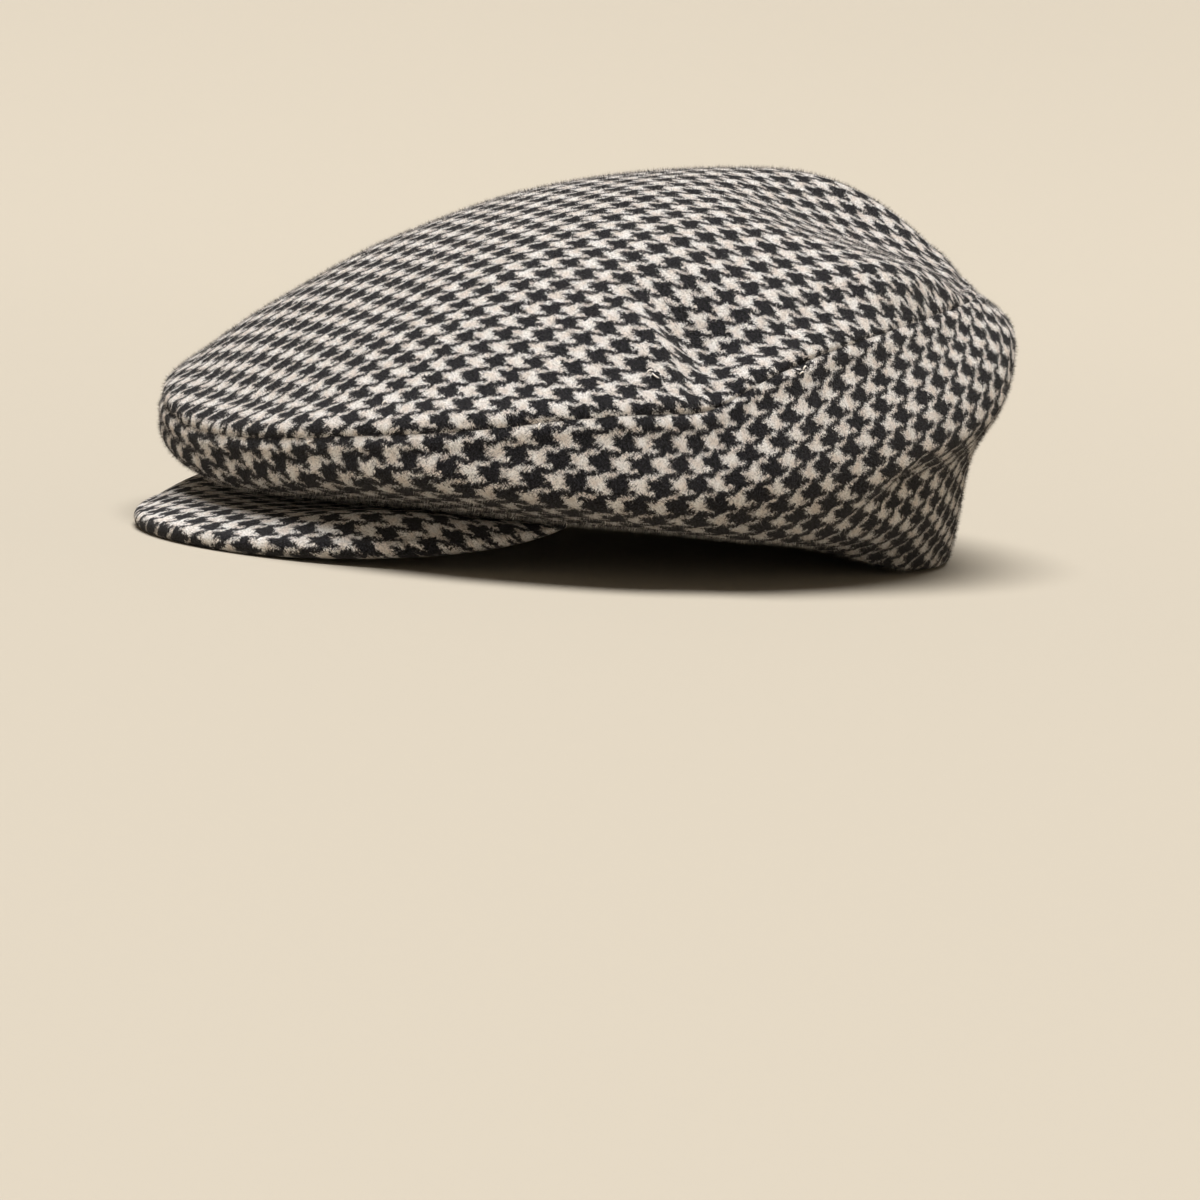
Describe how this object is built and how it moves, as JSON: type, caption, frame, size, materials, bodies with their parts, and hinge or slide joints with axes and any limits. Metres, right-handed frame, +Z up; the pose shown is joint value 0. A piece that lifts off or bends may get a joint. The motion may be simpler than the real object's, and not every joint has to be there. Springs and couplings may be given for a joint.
{
  "type": "flat cap",
  "caption": "Soft flat cap in houndstooth wool: a domed top panel and a deep side panel sewn round an oval head opening, with a short stiff peak under the front.",
  "frame": {"origin": "under the middle of the cap's box, on the surface that the cap rests on", "axes": "+Z up, the peak points to -Y, the wearer's left is +X"},
  "size_m": [0.2246, 0.2561, 0.1081],
  "materials": {
    "houndstooth_wool": "black and cream houndstooth wool, matt and slightly fuzzy"
  },
  "bodies": {
    "root": {"crown_top": "houndstooth_wool", "crown_side": "houndstooth_wool", "peak": "houndstooth_wool"}
  },
  "joints": []
}
